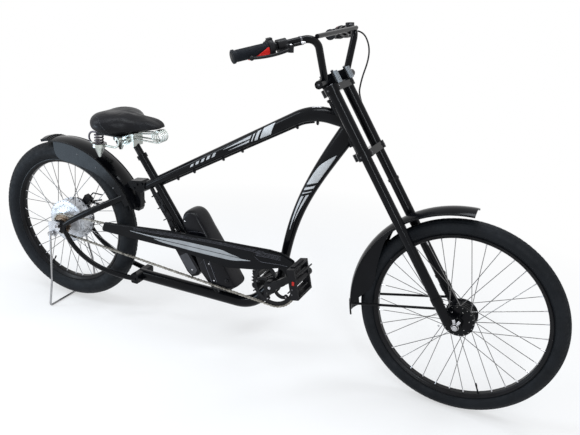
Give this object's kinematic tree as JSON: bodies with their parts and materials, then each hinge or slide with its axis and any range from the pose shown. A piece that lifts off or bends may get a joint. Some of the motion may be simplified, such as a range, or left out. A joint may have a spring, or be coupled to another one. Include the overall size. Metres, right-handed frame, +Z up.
{
  "type": "electric chopper bicycle",
  "caption": "Pedal bicycle with a rear hub motor, raked twin-crown fork, swept-back high handlebar, mudguards, battery case and a rear stand.",
  "frame": {"origin": "middle of the bounding box at ground level", "axes": "+X forward, +Y to the rider's left, +Z up; the bicycle is parked on its rear stand with the steering straight"},
  "size_m": [2.227, 0.722, 1.1797],
  "materials": {
    "tyre_rubber": "satin",
    "black_paint": "gloss",
    "spoke_steel": "bright",
    "black_alloy": "satin",
    "hub_silver": "satin",
    "bright_steel": "bright",
    "brown_steel": "satin",
    "chain_steel": "oiled",
    "black_plastic": "satin",
    "grip_rubber": "matte",
    "saddle_vinyl": "satin",
    "chrome": "polished"
  },
  "bodies": {
    "frame": {"head_tube": "black_paint", "top_tube": "black_paint", "down_tube": "black_paint", "seat_tube": "black_paint", "lower_tube": "black_paint", "bottom_bracket": "black_paint", "rear_bracket": "black_paint", "upper_stays": "black_paint", "lower_stays": "black_paint", "dropouts": "black_paint", "lower_yoke": "black_paint", "seat_post": "black_alloy", "saddle_pad": "saddle_vinyl", "saddle_frame": "chrome", "saddle_pan": "black_plastic", "wiring": "black_plastic", "rear_fender": "black_paint", "chain_guard": "black_paint", "battery_case": "black_plastic", "controller": "black_plastic", "chain": "chain_steel", "brake_caliper": "black_alloy", "rear_axle": "bright_steel", "stand_bracket": "bright_steel"},
    "fork": {"fork_legs": "black_paint", "fork_crowns": "black_paint", "front_axle": "bright_steel", "handlebar": "black_paint", "grips": "grip_rubber", "bar_clamps": "black_paint", "brake_levers": "black_alloy", "throttle": "black_plastic", "bell": "black_plastic", "brake_cable": "black_plastic", "front_fender": "black_paint", "fender_stays": "black_paint"},
    "front_wheel": {"front_tyre": "tyre_rubber", "front_rim": "black_alloy", "front_spokes": "spoke_steel", "drum_hub": "black_alloy"},
    "rear_wheel": {"rear_tyre": "tyre_rubber", "rear_rim": "black_alloy", "rear_spokes": "spoke_steel", "hub_motor": "hub_silver", "brake_rotor": "bright_steel"},
    "freewheel": {"freewheel": "brown_steel"},
    "crankset": {"chainring": "black_alloy", "crankset": "black_alloy"},
    "pedal_right": {"pedal_right": "black_plastic"},
    "pedal_left": {"pedal_left": "black_plastic"},
    "stand": {"stand": "chrome"}
  },
  "joints": [
    {"name": "steer", "type": "hinge", "parent": "frame", "child": "fork", "pos_m": [0.35665, 0, 0.88933], "axis": [-0.5417, 0, 0.8406], "range_deg": [-38, 38]},
    {"name": "front_wheel_spin", "type": "hinge", "parent": "fork", "child": "front_wheel", "pos_m": [0.7825, 0, 0.331], "axis": [0, 1, 0], "continuous": true},
    {"name": "rear_wheel_spin", "type": "hinge", "parent": "frame", "child": "rear_wheel", "pos_m": [-0.7905, 0, 0.337], "axis": [0, 1, 0], "continuous": true},
    {"name": "crank_spin", "type": "hinge", "parent": "frame", "child": "crankset", "pos_m": [0.1495, 0, 0.308], "axis": [0, 1, 0], "continuous": true},
    {"name": "freewheel_spin", "type": "hinge", "parent": "frame", "child": "freewheel", "pos_m": [-0.7905, 0, 0.337], "axis": [0, 1, 0], "continuous": true},
    {"name": "pedal_right_spin", "type": "hinge", "parent": "crankset", "child": "pedal_right", "pos_m": [0.28712, 0, 0.40436], "axis": [0, 1, 0], "continuous": true},
    {"name": "pedal_left_spin", "type": "hinge", "parent": "crankset", "child": "pedal_left", "pos_m": [0.01188, 0, 0.21164], "axis": [0, 1, 0], "continuous": true},
    {"name": "stand_fold", "type": "hinge", "parent": "frame", "child": "stand", "pos_m": [-0.8205, 0, 0.3], "axis": [0, 1, 0], "range_deg": [0, 85]}
  ],
  "couplings": [
    {"joint": "freewheel_spin", "follows": "crank_spin", "ratio": 2.1}
  ]
}
